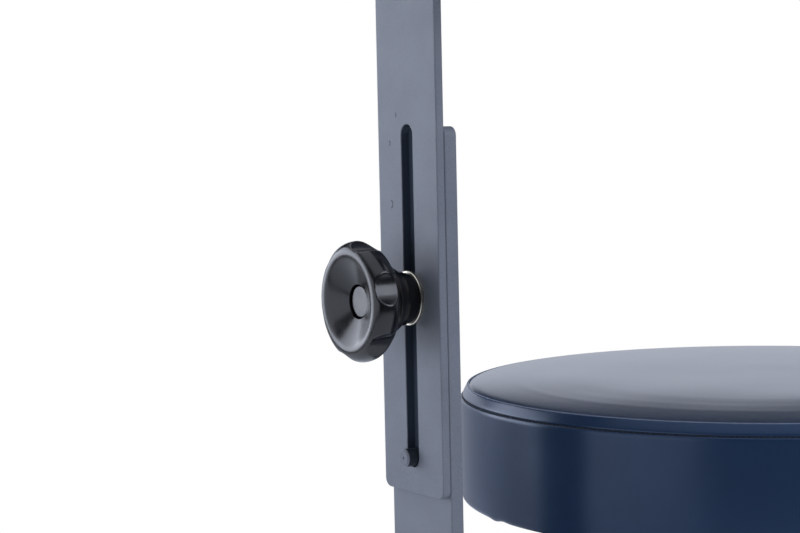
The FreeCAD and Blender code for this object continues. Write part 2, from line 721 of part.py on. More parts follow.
def crescent(half_outline):
    """A curved pad: its half section swept round the column axis on both sides and turned about each end."""
    start, *steps = half_outline
    half = profile(start, *steps)
    bodies = []
    for section in (half, half.mirror(ORIGIN, V(1, 0, 0))):
        sweep = section.translated(V(-PAD_R, 0, 0)).revolve(ORIGIN, UP, 2 * PAD_SPAN)
        sweep.rotate(ORIGIN, UP, -PAD_SPAN)
        bodies.append(sweep)
    for side in (-1, 1):
        end = half.revolve(ORIGIN, UP, -side * 180)
        end.translate(V(-PAD_R, 0, 0))
        end.rotate(ORIGIN, UP, side * PAD_SPAN)
        bodies.append(end)
    return joined(*bodies)


def pad_outline(inset):
    """Half section of the arm pad, drawn in by inset: crowned top, sewn edge and drawn-in foot."""
    half, foot, crest = PAD_HALF - inset, ARM_Z + inset, ARM_Z + PAD_H - inset
    rim = (half - 9, crest - 6.5 + inset / 4)
    return (
        (0, foot), (half - 5, foot), (half - 1.6, foot + 1.4, half - 1, foot + 6),
        (half, foot + 16, half - 2.4, crest - 13), (half - 4.6, crest - 8.5 + inset / 3, rim[0], rim[1]),
        dome(rim[0], rim[1], crest),
    )


def arm_cover():
    return crescent(pad_outline(0)).cut(crescent(pad_outline(COVER_T))).cut(
        at_arm_screws(rod(ARM_SCREW_R + HOLE_GAP, ARM_Z - 2, ARM_Z + COVER_T + 1)))


def pad_board_block():
    low, top = ARM_Z + COVER_T, ARM_Z + COVER_T + PAD_BOARD_T
    return crescent(((0, low), (PAD_BOARD_HALF, low), (PAD_BOARD_HALF, top), (0, top)))


def arm_board():
    return pad_board_block().cut(at_arm_screws(rod(ARM_SCREW_R, ARM_Z - 2, ARM_Z + 12)))


def arm_foam():
    return crescent(pad_outline(COVER_T)).cut(pad_board_block())


def at_arm_screws(shape):
    spots = [V(x, y, 0) for x in ARM_SCREW_X for y in (-ARM_SCREW_Y, ARM_SCREW_Y)]
    return Part.makeCompound([shape.translated(spot) for spot in spots])


def arm_screws():
    head = ARM_Z - SLOTTED_T
    return at_arm_screws(turned(
        (0, head - 2.8), (2.6, head - 2.8), (4.2, head - 1.2), (4.4, head), (ARM_SCREW_R, head),
        (ARM_SCREW_R, ARM_Z + 9), (0, ARM_Z + 12),
    ))


def pieces():
    """Every piece by its node name."""
    found = {
        make.__name__: make()
        for make in (
            star_base, castor_stems, stand_tube, guide_bush,
            thrust_race_lower, thrust_balls, thrust_race_upper,
            piston_rod, rod_clip, piston, pressure_tube, rod_gland, release_pin,
            seat_plate, taper_socket, lever_pivot_pin, release_lever, lever_grip,
            seat_cover, seat_board, seat_foam, tee_nuts, seat_bolts,
            support_bar, slotted_bar, guide_pin, clamp_nut, bar_bolts, bar_nuts,
            knob_body, knob_cap, knob_stud,
            clamp_washer, arm_cover, arm_board, arm_foam, arm_screws,
        )
    }
    hood, axle, left = castor_hood(), castor_axle(), castor_wheel()
    right = left.mirror(ORIGIN, V(0, 1, 0))
    for k in range(LEGS):
        for name, shape in (("hood", hood), ("axle", axle), ("wheel_left", left), ("wheel_right", right)):
            found[f"castor_{k + 1}_{name}"] = at_castor(shape, k)
    return found


def main():
    os.makedirs("parts", exist_ok=True)
    for name, shape in pieces().items():
        solids = shape.Solids
        sound = all(s.isValid() and s.Volume > 0 for s in solids)
        state = "ok" if sound else "BAD"
        print(f"{name:22s} solids {len(solids):2d}  volume {shape.Volume / 1000:9.2f} cm3  {state}")
        whole = solids[0] if len(solids) == 1 else Part.makeCompound(solids)
        whole.exportStep(f"parts/{name}.step")


main()
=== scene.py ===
import bpy
import bmesh
import json
import math
import numpy as np
from mathutils import Matrix, Vector


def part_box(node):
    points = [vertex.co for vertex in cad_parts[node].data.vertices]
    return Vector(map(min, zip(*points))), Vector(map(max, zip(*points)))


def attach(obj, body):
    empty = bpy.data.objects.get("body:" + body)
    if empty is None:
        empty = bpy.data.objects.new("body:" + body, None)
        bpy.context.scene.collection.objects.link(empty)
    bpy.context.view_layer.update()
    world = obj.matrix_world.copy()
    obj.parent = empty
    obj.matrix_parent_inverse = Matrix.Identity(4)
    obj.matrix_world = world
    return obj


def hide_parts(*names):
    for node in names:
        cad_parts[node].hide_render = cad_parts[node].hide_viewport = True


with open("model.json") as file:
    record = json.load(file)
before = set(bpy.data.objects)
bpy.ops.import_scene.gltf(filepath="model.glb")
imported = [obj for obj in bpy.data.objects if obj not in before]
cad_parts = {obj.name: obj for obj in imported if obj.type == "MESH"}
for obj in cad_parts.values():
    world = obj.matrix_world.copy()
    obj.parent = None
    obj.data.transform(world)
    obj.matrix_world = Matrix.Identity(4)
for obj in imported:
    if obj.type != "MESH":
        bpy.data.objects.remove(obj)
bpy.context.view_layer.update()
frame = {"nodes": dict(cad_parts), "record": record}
nodes = frame["nodes"]
scene = bpy.context.scene
mm = 0.001

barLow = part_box("slotted_bar")[0]
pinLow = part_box("guide_pin")[0]
washerLow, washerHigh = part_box("clamp_washer")
seatLow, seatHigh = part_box("seat_cover")
padLow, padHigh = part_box("arm_cover")
frontX = barLow.x  # front face of the slotted bar
knobZ = (washerLow.z + washerHigh.z) / 2


# helpers

def linear(hexColour):  # sRGB hex to the linear values that shaders take
    parts = [int(hexColour[i:i + 2], 16) / 255 for i in (1, 3, 5)]
    return tuple(p / 12.92 if p <= 0.04045 else ((p + 0.055) / 1.055) ** 2.4 for p in parts) + (1,)


def addNode(tree, kind, inputs=None, stops=(), **settings):  # links nodes and sockets, sets other values
    node = tree.nodes.new(kind)
    for key, value in settings.items():
        setattr(node, key, value)
    for key, value in (inputs or {}).items():
        if isinstance(value, bpy.types.Node):
            value = next(socket for socket in value.outputs if socket.enabled)
        if isinstance(value, bpy.types.NodeSocket):
            tree.links.new(value, node.inputs[key])
        else:
            node.inputs[key].default_value = linear(value) if isinstance(value, str) else value
    if stops:  # of a colour ramp; a plain number is a grey
        points = node.color_ramp.elements
        while len(points) < len(stops):
            points.new(0.5)
        for point, (position, shade) in zip(points, stops):
            point.position = position
            point.color = linear(shade) if isinstance(shade, str) else (shade, shade, shade, 1)
    return node


def newMaterial(name):
    material = bpy.data.materials.new(name)
    material.use_nodes = True
    material.node_tree.nodes.clear()
    place = addNode(material.node_tree, "ShaderNodeTexCoord").outputs["Object"]
    return material, material.node_tree, place


def perMetre(sizeMm):  # texture scale that makes a pattern's feature this many millimetres wide
    return 1 / (sizeMm * mm)


def addObject(name, data):
    piece = bpy.data.objects.new(name, data)
    scene.collection.objects.link(piece)
    return piece


def meshPiece(name, vertices, faces, material, smooth=True):
    mesh = bpy.data.meshes.new(name)
    mesh.from_pydata(vertices, [], faces)
    mesh.materials.append(material)
    mesh.polygons.foreach_set("use_smooth", [smooth] * len(mesh.polygons))
    return addObject(name, mesh)


# finishes

noiseSpan = {"From Min": 0.3, "From Max": 0.7}  # where most of a noise's values lie


def grainFinish(name, look):  # noises, each with its grain in mm and its detail, drive the finish
    material, tree, place = newMaterial(name)
    if "stretch" in look:
        place = addNode(tree, "ShaderNodeMapping", {"Vector": place, "Scale": look["stretch"]})
    noises = {}
    for use, (grainMm, detail) in look["noise"].items():
        noises[use] = addNode(tree, "ShaderNodeTexNoise",
                              {"Vector": place, "Scale": perMetre(grainMm), "Detail": detail})
    grain = noises["grain"]
    inputs = dict(look.get("plain", {}))
    inputs["Base Color"] = addNode(tree, "ShaderNodeValToRGB", {"Fac": noises.get("colour", grain)},
                                   look["colours"])
    if "rough" in look:
        low, high = look["rough"]
        inputs["Roughness"] = addNode(tree, "ShaderNodeMapRange",
                                      {"Value": grain, **noiseSpan, "To Min": low, "To Max": high})
    if "bump" in look:
        depthMm, strength = look["bump"]
        inputs["Normal"] = addNode(tree, "ShaderNodeBump", {"Height": noises.get("bump", grain),
                                                            "Distance": depthMm * mm, "Strength": strength})
    shader = addNode(tree, "ShaderNodeBsdfPrincipled", inputs)
    addNode(tree, "ShaderNodeOutputMaterial", {"Surface": shader})
    return material


def powderCoat():  # satin grey polyester powder on steel: even colour, fine dry grain, soft sheen
    look = {  # places are in mm from the middle of the bar's low front edge
        "colours": ((0.36, "#838892"), (0.64, "#8f949e")), "cloud": (26, 3),
        "grain": (0.9, 2), "bumpMm": 0.05, "bump": 0.8,  # coarser than the real grain, so that it shows
        "rough": (0.44, 0.58), "specular": 0.25,
        "slotShade": "#4a5562", "slotShadeMm": ((0.5, 5.5), (-6, 6), (14, 203.5)),  # painted slot shade and its box: behind, across and above
        "chip": "#3a3f48", "chipsMm": ((11.3, 208.6, 1.0), (18.2, 193.2, 1.1), (17.5, 159.4, 2.0)),
        "chipWideMm": (0.7, 0.2), "chipSideMm": (0.3, -0.6),  # where a chip starts and is full
    }
    material, tree, place = newMaterial("greyPowderCoat")
    grain, cloud = (addNode(tree, "ShaderNodeTexNoise",
                            {"Vector": place, "Scale": perMetre(sizeMm), "Detail": detail})
                    for sizeMm, detail in (look["grain"], look["cloud"]))
    both = addNode(tree, "ShaderNodeMath", {0: grain, 1: cloud}, operation="ADD")
    mean = addNode(tree, "ShaderNodeMath", {0: both, 1: 0.5}, operation="MULTIPLY")
    colour = addNode(tree, "ShaderNodeValToRGB", {"Fac": mean}, look["colours"])
    axes = addNode(tree, "ShaderNodeSeparateXYZ", {0: place}).outputs
    # painted shade: a dark colour fills the slot's box, standing for the shade in the deep slot
    inside = 1.0
    for axis, start, (low, high) in zip("XYZ", (barLow.x, 0, barLow.z), look["slotShadeMm"]):
        middle = start + (low + high) / 2 * mm
        near = addNode(tree, "ShaderNodeMath", {0: axes[axis], 1: middle, 2: (high - low) / 2 * mm},
                       operation="COMPARE")
        inside = addNode(tree, "ShaderNodeMath", {0: inside, 1: near}, operation="MULTIPLY")
    colour = addNode(tree, "ShaderNodeMix", {"Factor": inside, "A": colour, "B": look["slotShade"]},
                     data_type="RGBA")  # painted shade: the slot's walls and the strip behind it are darkened to stand for the deep slot's shade
    for across, above, radius in look["chipsMm"]:  # small crescents where the coat was knocked
        spot = (barLow.x, across * mm, barLow.z + above * mm)
        away = addNode(tree, "ShaderNodeVectorMath", {0: place, 1: spot}, operation="DISTANCE")
        off = addNode(tree, "ShaderNodeMath", {0: away, 1: radius * mm}, operation="SUBTRACT")
        ring = addNode(tree, "ShaderNodeMath", {0: off}, operation="ABSOLUTE")
        outer, inner = (wide * mm for wide in look["chipWideMm"])
        thin = addNode(tree, "ShaderNodeMapRange", {"Value": ring, "From Min": outer, "From Max": inner})
        left, right = (spot[1] + side * mm for side in look["chipSideMm"])
        part = addNode(tree, "ShaderNodeMapRange", {"Value": axes["Y"], "From Min": left, "From Max": right})
        mark = addNode(tree, "ShaderNodeMath", {0: thin, 1: part}, operation="MULTIPLY")
        colour = addNode(tree, "ShaderNodeMix", {"Factor": mark, "A": colour, "B": look["chip"]},
                         data_type="RGBA")
    smoothest, roughest = look["rough"]
    rough = addNode(tree, "ShaderNodeMapRange",
                    {"Value": grain, **noiseSpan, "To Min": smoothest, "To Max": roughest})
    bump = addNode(tree, "ShaderNodeBump",
                   {"Height": grain, "Distance": look["bumpMm"] * mm, "Strength": look["bump"]})
    shader = addNode(tree, "ShaderNodeBsdfPrincipled", {
        "Base Color": colour, "Roughness": rough, "Specular IOR Level": look["specular"], "Normal": bump})
    addNode(tree, "ShaderNodeOutputMaterial", {"Surface": shader})
    return material


def darkShankPin():  # a dark shank, and an end grey like the bar with a painted highlight as a paler ring at its edge
    # painted highlight: the paler stop just behind the end stands for light caught on the end's rim; the
    # shank beyond is dark
    look = {"colours": ((0.02, "#757a85"), (0.04, "#8d929c"), (0.2, "#868b95"), (0.24, "#2a323b")),
            "reachMm": 4, "rough": 0.5}
    material, tree, place = newMaterial("darkShankPinPaintedRim")
    depth = addNode(tree, "ShaderNodeSeparateXYZ", {0: place}).outputs["X"]
    share = addNode(tree, "ShaderNodeMapRange", {"Value": depth, "From Min": pinLow.x,
                                                 "From Max": pinLow.x + look["reachMm"] * mm})
    colour = addNode(tree, "ShaderNodeValToRGB", {"Fac": share}, look["colours"])
    shader = addNode(tree, "ShaderNodeBsdfPrincipled", {"Base Color": colour, "Roughness": look["rough"]})
    addNode(tree, "ShaderNodeOutputMaterial", {"Surface": shader})
    return material


def navyVinyl():  # calendered upholstery vinyl: satin top coat over a very fine leather-like grain
    look = {
        "colours": ((0.0, "#1f344f"), (1.0, "#263e5e")), "cloudMm": 30, "cloudDetail": 3,
        "grainMm": 0.8, "bumpMm": 0.02, "bump": 0.2,  # coarser than the real grain, so that it shows
        "sheen": "#d3e4ff",  # the coat's reflections are a little blue
        "sideRough": 0.26, "topRough": 0.2, "sideMm": 6.5, "topMm": 4.5,  # below the seat's highest point
    }
    material, tree, place = newMaterial("navyUpholsteryVinyl")
    cells = addNode(tree, "ShaderNodeTexVoronoi", {"Vector": place, "Scale": perMetre(look["grainMm"])},
                    feature="SMOOTH_F1")
    cloud = addNode(tree, "ShaderNodeTexNoise", {
        "Vector": place, "Scale": perMetre(look["cloudMm"]), "Detail": look["cloudDetail"]})
    colour = addNode(tree, "ShaderNodeValToRGB", {"Fac": cloud}, look["colours"])
    height = addNode(tree, "ShaderNodeSeparateXYZ", {0: place}).outputs["Z"]
    low, high = (seatHigh.z - look[drop] * mm for drop in ("sideMm", "topMm"))
    rough = addNode(tree, "ShaderNodeMapRange", {  # the top is worn smoother than the side
        "Value": height, "From Min": low, "From Max": high,
        "To Min": look["sideRough"], "To Max": look["topRough"]})
    bump = addNode(tree, "ShaderNodeBump",
                   {"Height": cells, "Distance": look["bumpMm"] * mm, "Strength": look["bump"]})
    shader = addNode(tree, "ShaderNodeBsdfPrincipled", {
        "Base Color": colour, "Roughness": rough, "Specular Tint": look["sheen"], "Normal": bump})
    addNode(tree, "ShaderNodeOutputMaterial", {"Surface": shader})
    return material


vinyl = navyVinyl()
paintedSeamHighlight = grainFinish("seamEdgePaintedHighlight", {  # the folded edge of the top panel, painted pale as a highlight where the edge catches the light
    "colours": ((0.3, "#6a7994"), (0.7, "#8492ac")), "noise": {"grain": (3, 3)},
    "plain": {"Roughness": 0.45}})
thread = grainFinish("bondedThread", {  # bonded polyester thread, darker than the vinyl
    "colours": ((0.3, "#05070c"), (0.7, "#0d111b")), "noise": {"grain": (0.4, 1)},
    "plain": {"Roughness": 0.7}})
gloss = grainFinish("blackPhenolic", {  # compression-moulded black phenolic: deep gloss, duller where rubbed
    "colours": ((0.35, "#0d0d0f"), (0.7, "#18181b")), "noise": {"grain": (7, 3), "bump": (0.5, 2)},
    "rough": (0.17, 0.27), "bump": (0.004, 0.5), "plain": {"IOR": 1.52}})
finishBySlot = {
    "grey_enamel": powderCoat(),
    "black_enamel": grainFinish("blackStoveEnamel", {  # stoved black paint with a slight orange peel
        "colours": ((0.3, "#15161a"), (0.7, "#1d1f24")), "noise": {"grain": (1.6, 1)},
        "rough": (0.3, 0.4), "bump": (0.02, 0.4)}),
    "zinc_steel": grainFinish("brightZincPlate", {  # bright zinc on steel: warm silver, faintly mottled
        "colours": ((0.3, "#c6bfb0"), (0.7, "#dcd6c9")), "noise": {"grain": (0.5, 3)},
        "rough": (0.24, 0.38), "bump": (0.01, 0.4), "plain": {"Metallic": 1}}),
    "chromed_steel": grainFinish("groundHardChrome", {  # ground and chromed tube, with faint lines along it
        "colours": ((0.3, "#c6c9cd"), (0.7, "#dcdfe2")), "noise": {"grain": (0.4, 2)},
        "stretch": (1, 1, 0.05), "rough": (0.06, 0.14), "plain": {"Metallic": 1}}),
    "cast_aluminium": grainFinish("polishedCastAluminium", {  # belt-polished casting with a faint even grain
        "colours": ((0.3, "#c9cbcd"), (0.7, "#cdcfd1")), "noise": {"grain": (0.8, 3), "colour": (18, 2)},
        "rough": (0.2, 0.28), "bump": (0.01, 0.2), "plain": {"Metallic": 1}}),
    "black_gloss_plastic": gloss,
    "black_matte_plastic": grainFinish("sparkGrainedNylon", {  # spark-grained black nylon mouldings
        "colours": ((0.3, "#111113"), (0.7, "#1c1c1f")), "noise": {"grain": (0.6, 2)},
        "rough": (0.45, 0.6), "bump": (0.03, 0.6)}),
    "navy_vinyl": vinyl,
    "foam": vinyl,
    "plywood": grainFinish("birchPlywood", {  # rotary-cut birch: pale flowing grain
        "colours": ((0.3, "#b28a5a"), (0.7, "#d6b483")), "noise": {"grain": (3, 4)},
        "stretch": (1, 0.08, 1), "bump": (0.08, 0.4), "plain": {"Roughness": 0.62}}),
    "wheel_tread": grainFinish("polyurethaneTread", {  # soft grey-black polyurethane with patches of dust
        "colours": ((0.35, "#1b1b1d"), (0.75, "#2c2c2e")), "noise": {"grain": (5, 4)},
        "rough": (0.5, 0.7), "bump": (0.03, 0.4)}),
}
subparts = frame["record"]["subparts"]
finishByNode = {subpart["node"]: finishBySlot[subpart["material_slot"]] for subpart in subparts}
finishByNode["guide_pin"] = darkShankPin()
for name, finish in finishByNode.items():
    nodes[name].data.materials.clear()
    nodes[name].data.materials.append(finish)
print("finishes on", len(nodes), "CAD nodes")


# cushions: rings of points, each ring at one width

def ringTurns(count):  # angles round a ring
    return np.linspace(0, 2 * np.pi, count, endpoint=False)


def circleRing(radius, count):
    turns = ringTurns(count)
    return np.stack([radius * np.cos(turns), radius * np.sin(turns)], axis=1)


def levelPath(flat, height):  # a closed line at one height
    return np.column_stack([flat, np.full(len(flat), height)])


def curveProfile(points, stepMm):  # smooth line through points of two or three measures, at about even steps
    path = np.array(points, float)
    ends = np.vstack([2 * path[0] - path[1], path, 2 * path[-1] - path[-2]])
    line = []
    for i in range(1, len(ends) - 2):
        before, start, stop, after = ends[i - 1:i + 3]
        steps = max(2, int(np.linalg.norm(stop - start) / stepMm))
        for t in np.linspace(0, 1, steps, endpoint=False):
            bend = 2 * before - 5 * start + 4 * stop - after
            twist = 3 * start - before - 3 * stop + after
            line.append(0.5 * (2 * start + (stop - before) * t + bend * t * t + twist * t ** 3))
    line.append(ends[-2])
    return np.array(line)


def ringMesh(name, rings, closeFirst, closeLast, material):  # rings: arrays of equal length, (count, 3)
    count = len(rings[0])
    vertices = [tuple(point) for ring in rings for point in ring]
    faces = []
    for first in range(0, count * (len(rings) - 1), count):
        second = first + count
        for i in range(count):
            j = (i + 1) % count
            faces.append((first + i, second + i, second + j, first + j))
    if closeFirst:
        faces.append(tuple(range(count)))
    if closeLast:
        faces.append(tuple(range(len(vertices) - count, len(vertices)))[::-1])
    return meshPiece(name, vertices, faces, material)


def fade(distance, length):  # from 0 to 1 over this length
    return np.clip(distance / length, 0, 1)


uneven = {"waves": (3, 5, 8, 13), "lastStart": 6.28, "weakest": 0.3, "strongest": 0.8}


def unevenness(count, seed):  # a slow wave round a ring, about one unit high
    chance = np.random.default_rng(seed)
    wave = np.zeros(count)
    for number in uneven["waves"]:
        start = chance.uniform(0, uneven["lastStart"])
        strength = chance.uniform(uneven["weakest"], uneven["strongest"])
        wave += np.sin(number * ringTurns(count) + start) * strength
    return wave


def ripples(points):  # soft hollows across a panel, about one unit high
    waves = ((62, 24, 0.4), (24, -71, 2.1), (-48, 39, 4.0))  # radians per metre along x and y, and the start
    return sum(np.sin(points @ np.array([x, y]) + start) for x, y, start in waves) / len(waves)


def nearestRows(line, points):
    return {int(np.argmin(np.hypot(line[:, 0] - width, line[:, 1] - height))) for width, height in points}


filling = {  # rows and columns of the coarse trial cover, and the cloth's rules
    "clearMm": 2, "rowMm": 4.5, "columnStep": 4, "frames": 20, "smoothings": 6, "crownPower": 1.5,
    "cloth": {
        "vertex_group_mass": "held", "quality": 8, "mass": 0.3, "air_damping": 10, "tension_stiffness": 40,
        "compression_stiffness": 40, "shear_stiffness": 20, "bending_stiffness": 50, "tension_damping": 25,
        "compression_damping": 25, "shear_damping": 25, "use_pressure": True, "uniform_pressure_force": 4,
    },
}


def crownSink(capMm, share):  # a crown starts lower by as much as it will swell; share is how far out it is
    return capMm * np.clip(1 - share ** filling["crownPower"], 0, 1)


def soften(values, axis):  # each value moves halfway to the mean of its two neighbours
    return (np.roll(values, 1, axis=axis) + 2 * values + np.roll(values, -1, axis=axis)) / 4


def swell(rings, pins, capMm, closeLast):  # the filling presses the cover out between the pinned rings
    grid = np.array(rings)
    count = grid.shape[1]
    gone = np.concatenate([[0], np.cumsum(np.linalg.norm(np.diff(grid[:, 0], axis=0), axis=1))])
    rows = [0]
    for row in range(1, len(grid)):
        clear = min(abs(gone[row] - gone[pin]) for pin in pins) > filling["clearMm"] * mm
        if row in pins or (clear and gone[row] - gone[rows[-1]] > filling["rowMm"] * mm):
            rows.append(row)
    columns = np.arange(0, count, filling["columnStep"])
    start = grid[rows][:, columns]
    trial = ringMesh("swellTrial", list(start), True, closeLast, vinyl)
    held = trial.vertex_groups.new(name="held")
    for number, row in enumerate(rows):
        if row in pins:
            first = number * len(columns)
            held.add(list(range(first, first + len(columns))), 1.0, "REPLACE")
    cloth = trial.modifiers.new("swell", "CLOTH")
    for rule, value in filling["cloth"].items():
        setattr(cloth.settings, rule, value)
    cloth.settings.effector_weights.gravity = 0
    cloth.point_cache.frame_start = 1
    cloth.point_cache.frame_end = filling["frames"]
    for number in range(1, filling["frames"] + 1):
        scene.frame_set(number)
    ready = trial.evaluated_get(bpy.context.evaluated_depsgraph_get())
    after = np.empty(start.size)
    ready.data.vertices.foreach_get("co", after)
    moved = after.reshape(start.shape) - start
    bpy.data.objects.remove(trial)
    scene.frame_set(1)
    most = np.linalg.norm(moved, axis=2).max() / mm
    print("cover swells by", round(most, 2), "mm, kept to", capMm)
    moved *= min(1.0, capMm / most)
    for turn in range(filling["smoothings"]):  # evens out the coarse columns
        moved = soften(moved, 1)
    around = np.empty((len(rows), count, 3))
    full = np.empty(grid.shape)
    spots = np.arange(count)
    for axis in range(3):
        for number in range(len(rows)):
            around[number, :, axis] = np.interp(spots, columns, moved[number, :, axis], period=count)
        for column in range(count):
            full[:, column, axis] = np.interp(gone, gone[rows], around[:, column, axis])
    for turn in range(filling["smoothings"]):  # smooths the coarse rows' corners
        soft = soften(full, 0)
        soft[[0, -1]] = full[[0, -1]]
        soft[sorted(pins)] = 0
        full = soft
    return list(grid + full)


def makeBead(name, path, radiusMm, sides, material):  # a thin round roll along a closed level path
    ahead = np.roll(path, -1, axis=0) - np.roll(path, 1, axis=0)
    outward = np.column_stack([ahead[:, 1], -ahead[:, 0], np.zeros(len(path))])
    outward /= np.linalg.norm(outward, axis=1)[:, None]
    rings = []
    for turn in np.linspace(0, 2 * np.pi, sides + 1):
        aside, above = radiusMm * mm * math.sin(turn), radiusMm * mm * math.cos(turn)
        rings.append(path + outward * aside + np.array([0, 0, above]))
    piece = ringMesh(name, rings, False, False, material)
    joined = bmesh.new()
    joined.from_mesh(piece.data)
    bmesh.ops.remove_doubles(joined, verts=joined.verts, dist=1e-6)
    joined.to_mesh(piece.data)
    joined.free()
    return piece


# stitches

stitch = {  # sizes in mm, slant in radians
    "long": 3.1, "wide": 0.95, "high": 1.0, "pitch": 3.2, "slant": 0.16, "vary": 0.12, "seed": 11,
    "sides": 8, "rings": 6,
}


def stitchBead():  # one lockstitch: a short spindle of thread
    bead = bmesh.new()
    bmesh.ops.create_uvsphere(bead, u_segments=stitch["sides"], v_segments=stitch["rings"],
                              radius=1.0)
    bmesh.ops.rotate(bead, verts=bead.verts, matrix=Matrix.Rotation(math.pi / 2, 3, "Y"))
    bmesh.ops.scale(bead, verts=bead.verts, vec=[stitch[size] / 2 * mm for size in ("long", "wide", "high")])
    mesh = bpy.data.meshes.new("stitchBead")
    bead.to_mesh(mesh)
    bead.free()
    return bpy.data.objects.new("stitchBead", mesh)


def rowTree():  # beads set along a closed path at an even pitch, each turned to the path
    tree = bpy.data.node_groups.new("beadRow", "GeometryNodeTree")
    kinds = {"Geometry": "Geometry", "Bead": "Object", "Count": "Int", "Slant": "Float", "Vary": "Float",
             "Seed": "Int", "Material": "Material"}
    for label, kind in kinds.items():
        tree.interface.new_socket(label, in_out="INPUT", socket_type="NodeSocket" + kind)
    tree.interface.new_socket("Geometry", in_out="OUTPUT", socket_type="NodeSocketGeometry")
    given = addNode(tree, "NodeGroupInput").outputs
    path = addNode(tree, "GeometryNodeMeshToCurve", {"Mesh": given["Geometry"]})
    even = addNode(tree, "GeometryNodeResampleCurve", {"Curve": path, "Count": given["Count"]})
    tangent = addNode(tree, "GeometryNodeInputTangent")
    turn = addNode(tree, "FunctionNodeAlignRotationToVector", {"Vector": tangent}, axis="X")
    slant = addNode(tree, "ShaderNodeCombineXYZ", {"Z": given["Slant"]})
    turned = addNode(tree, "FunctionNodeRotateRotation", {"Rotation": turn, "Rotate By": slant},
                     rotation_space="LOCAL")
    least = addNode(tree, "ShaderNodeMath", {0: 1.0, 1: given["Vary"]}, operation="SUBTRACT")
    size = addNode(tree, "FunctionNodeRandomValue", {"Min": least, "Max": 1.0, "Seed": given["Seed"]},
                   data_type="FLOAT")
    bead = addNode(tree, "GeometryNodeObjectInfo", {"Object": given["Bead"]}).outputs["Geometry"]
    placed = addNode(tree, "GeometryNodeInstanceOnPoints",
                     {"Points": even, "Instance": bead, "Rotation": turned, "Scale": size})
    real = addNode(tree, "GeometryNodeRealizeInstances", {"Geometry": placed})
    done = addNode(tree, "GeometryNodeSetMaterial", {"Geometry": real, "Material": given["Material"]})
    addNode(tree, "NodeGroupOutput", {"Geometry": done})
    return tree


stitchShape = stitchBead()
beadRow = rowTree()


def sewRow(name, points, body):  # a row of stitches as one plain mesh
    count = len(points)
    length = sum(np.linalg.norm(points[i] - points[i - 1]) for i in range(count))
    mesh = bpy.data.meshes.new(name + "Path")
    mesh.from_pydata([tuple(point) for point in points], [(i, (i + 1) % count) for i in range(count)], [])
    path = addObject(name + "Path", mesh)
    row = path.modifiers.new("row", "NODES")
    row.node_group = beadRow
    values = {"Bead": stitchShape, "Count": int(length / (stitch["pitch"] * mm)), "Slant": stitch["slant"],
              "Vary": stitch["vary"], "Seed": stitch["seed"], "Material": thread}
    for item in beadRow.interface.items_tree:
        if item.in_out == "INPUT" and item.name in values:
            row[item.identifier] = values[item.name]
    bpy.context.view_layer.update()
    ready = path.evaluated_get(bpy.context.evaluated_depsgraph_get())
    plain = bpy.data.meshes.new_from_object(ready)
    plain.name = name
    path.modifiers.remove(row)
    bpy.data.objects.remove(path)
    plain.polygons.foreach_set("use_smooth", [True] * len(plain.polygons))
    piece = addObject(name, plain)
    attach(piece, body)
    print(name, len(piece.data.polygons), "faces")


# seat: a round cushion with a sewn top panel and a topstitched band

seat = {  # radii and drops in mm, turns in degrees; heights are from the seam
    "segments": 384, "stepMm": 2.2, "seamR": 182.6, "seamDrop": 66.8, "hemR": 161,
    "beadMm": 0.38, "beadOut": 0.35, "beadDrop": 0.3, "beadSides": 10, "beadSteps": 480,
    "stitchR": 186.1, "stitchDrop": 7.05, "rowOut": 0.15, "rowSteps": 720,
    "frontTurn": 233, "backShare": 0.55, "swellMm": 1.65, "swellR": 153, "levelR": 60,
    "rippleMm": 0.12, "rippleR": 172, "rippleFade": 40, "middleR": 3, "middleFade": 30,
    "unevenMm": 0.14, "unevenSeed": 2, "unevenTop": -9, "unevenFade": 12, "footFade": 10,
    "pleats": 30, "pleatMm": 0.5, "pleatSeed": 4, "pleatR": 180, "pleatFade": 14, "pleatHigh": 2,
    "puckers": ((174.7, 1.7, 0.5), (172.0, 1.9, -0.9)),  # turn, width and height of each
    "puckerTop": -58, "puckerFade": 8,
}
seamZ = knobZ - seat["seamDrop"] * mm
seatFoot = (seatLow.z - seamZ) / mm


def seatProfile():  # radius, height, and height at the worn front, from the crown to the underside
    seam, row, hem, foot = seat["seamR"], seat["stitchR"], seat["hemR"], seatFoot
    crown = [
        (3, 3.8, 3.8), (60, 3.7, 3.75), (105, 3.5, 3.4), (130, 3.25, 2.75), (147, 2.95, 2.05),
        (158, 2.65, 1.5), (167, 2.35, 1.0), (173, 2.0, 0.6), (177, 1.7, 0.28), (179.6, 1.2, 0.0),
        (181.2, 0.4, -0.34),
    ]
    sewn = {"seam": (seam, -0.65), "row": (row - 0.45, -7.05), "turn": (row - 0.8, foot + 0.9),
            "tack": (176, foot + 0.3), "hem": (hem - 0.5, foot + 0.9)}
    edge = [
        (seam - 0.7, -0.55), sewn["seam"], (seam + 0.35, -0.2), (seam + 0.9, -0.5), (seam + 1.65, -1.9),
        (row - 0.5, -4.6), (row + 0.1, -6.3), sewn["row"], (row + 1.0, -7.35), (row + 1.38, -7.9),
        (row + 1.4, -10), (row + 1.4, -26), (row + 1.4, -50), (row + 1.3, -62), (row + 1.2, foot + 2.4),
        (row + 0.8, foot + 1.3), sewn["turn"], sewn["tack"], (168, foot), (hem, foot), sewn["hem"],
    ]
    return crown + [(width, height, height) for width, height in edge], sewn


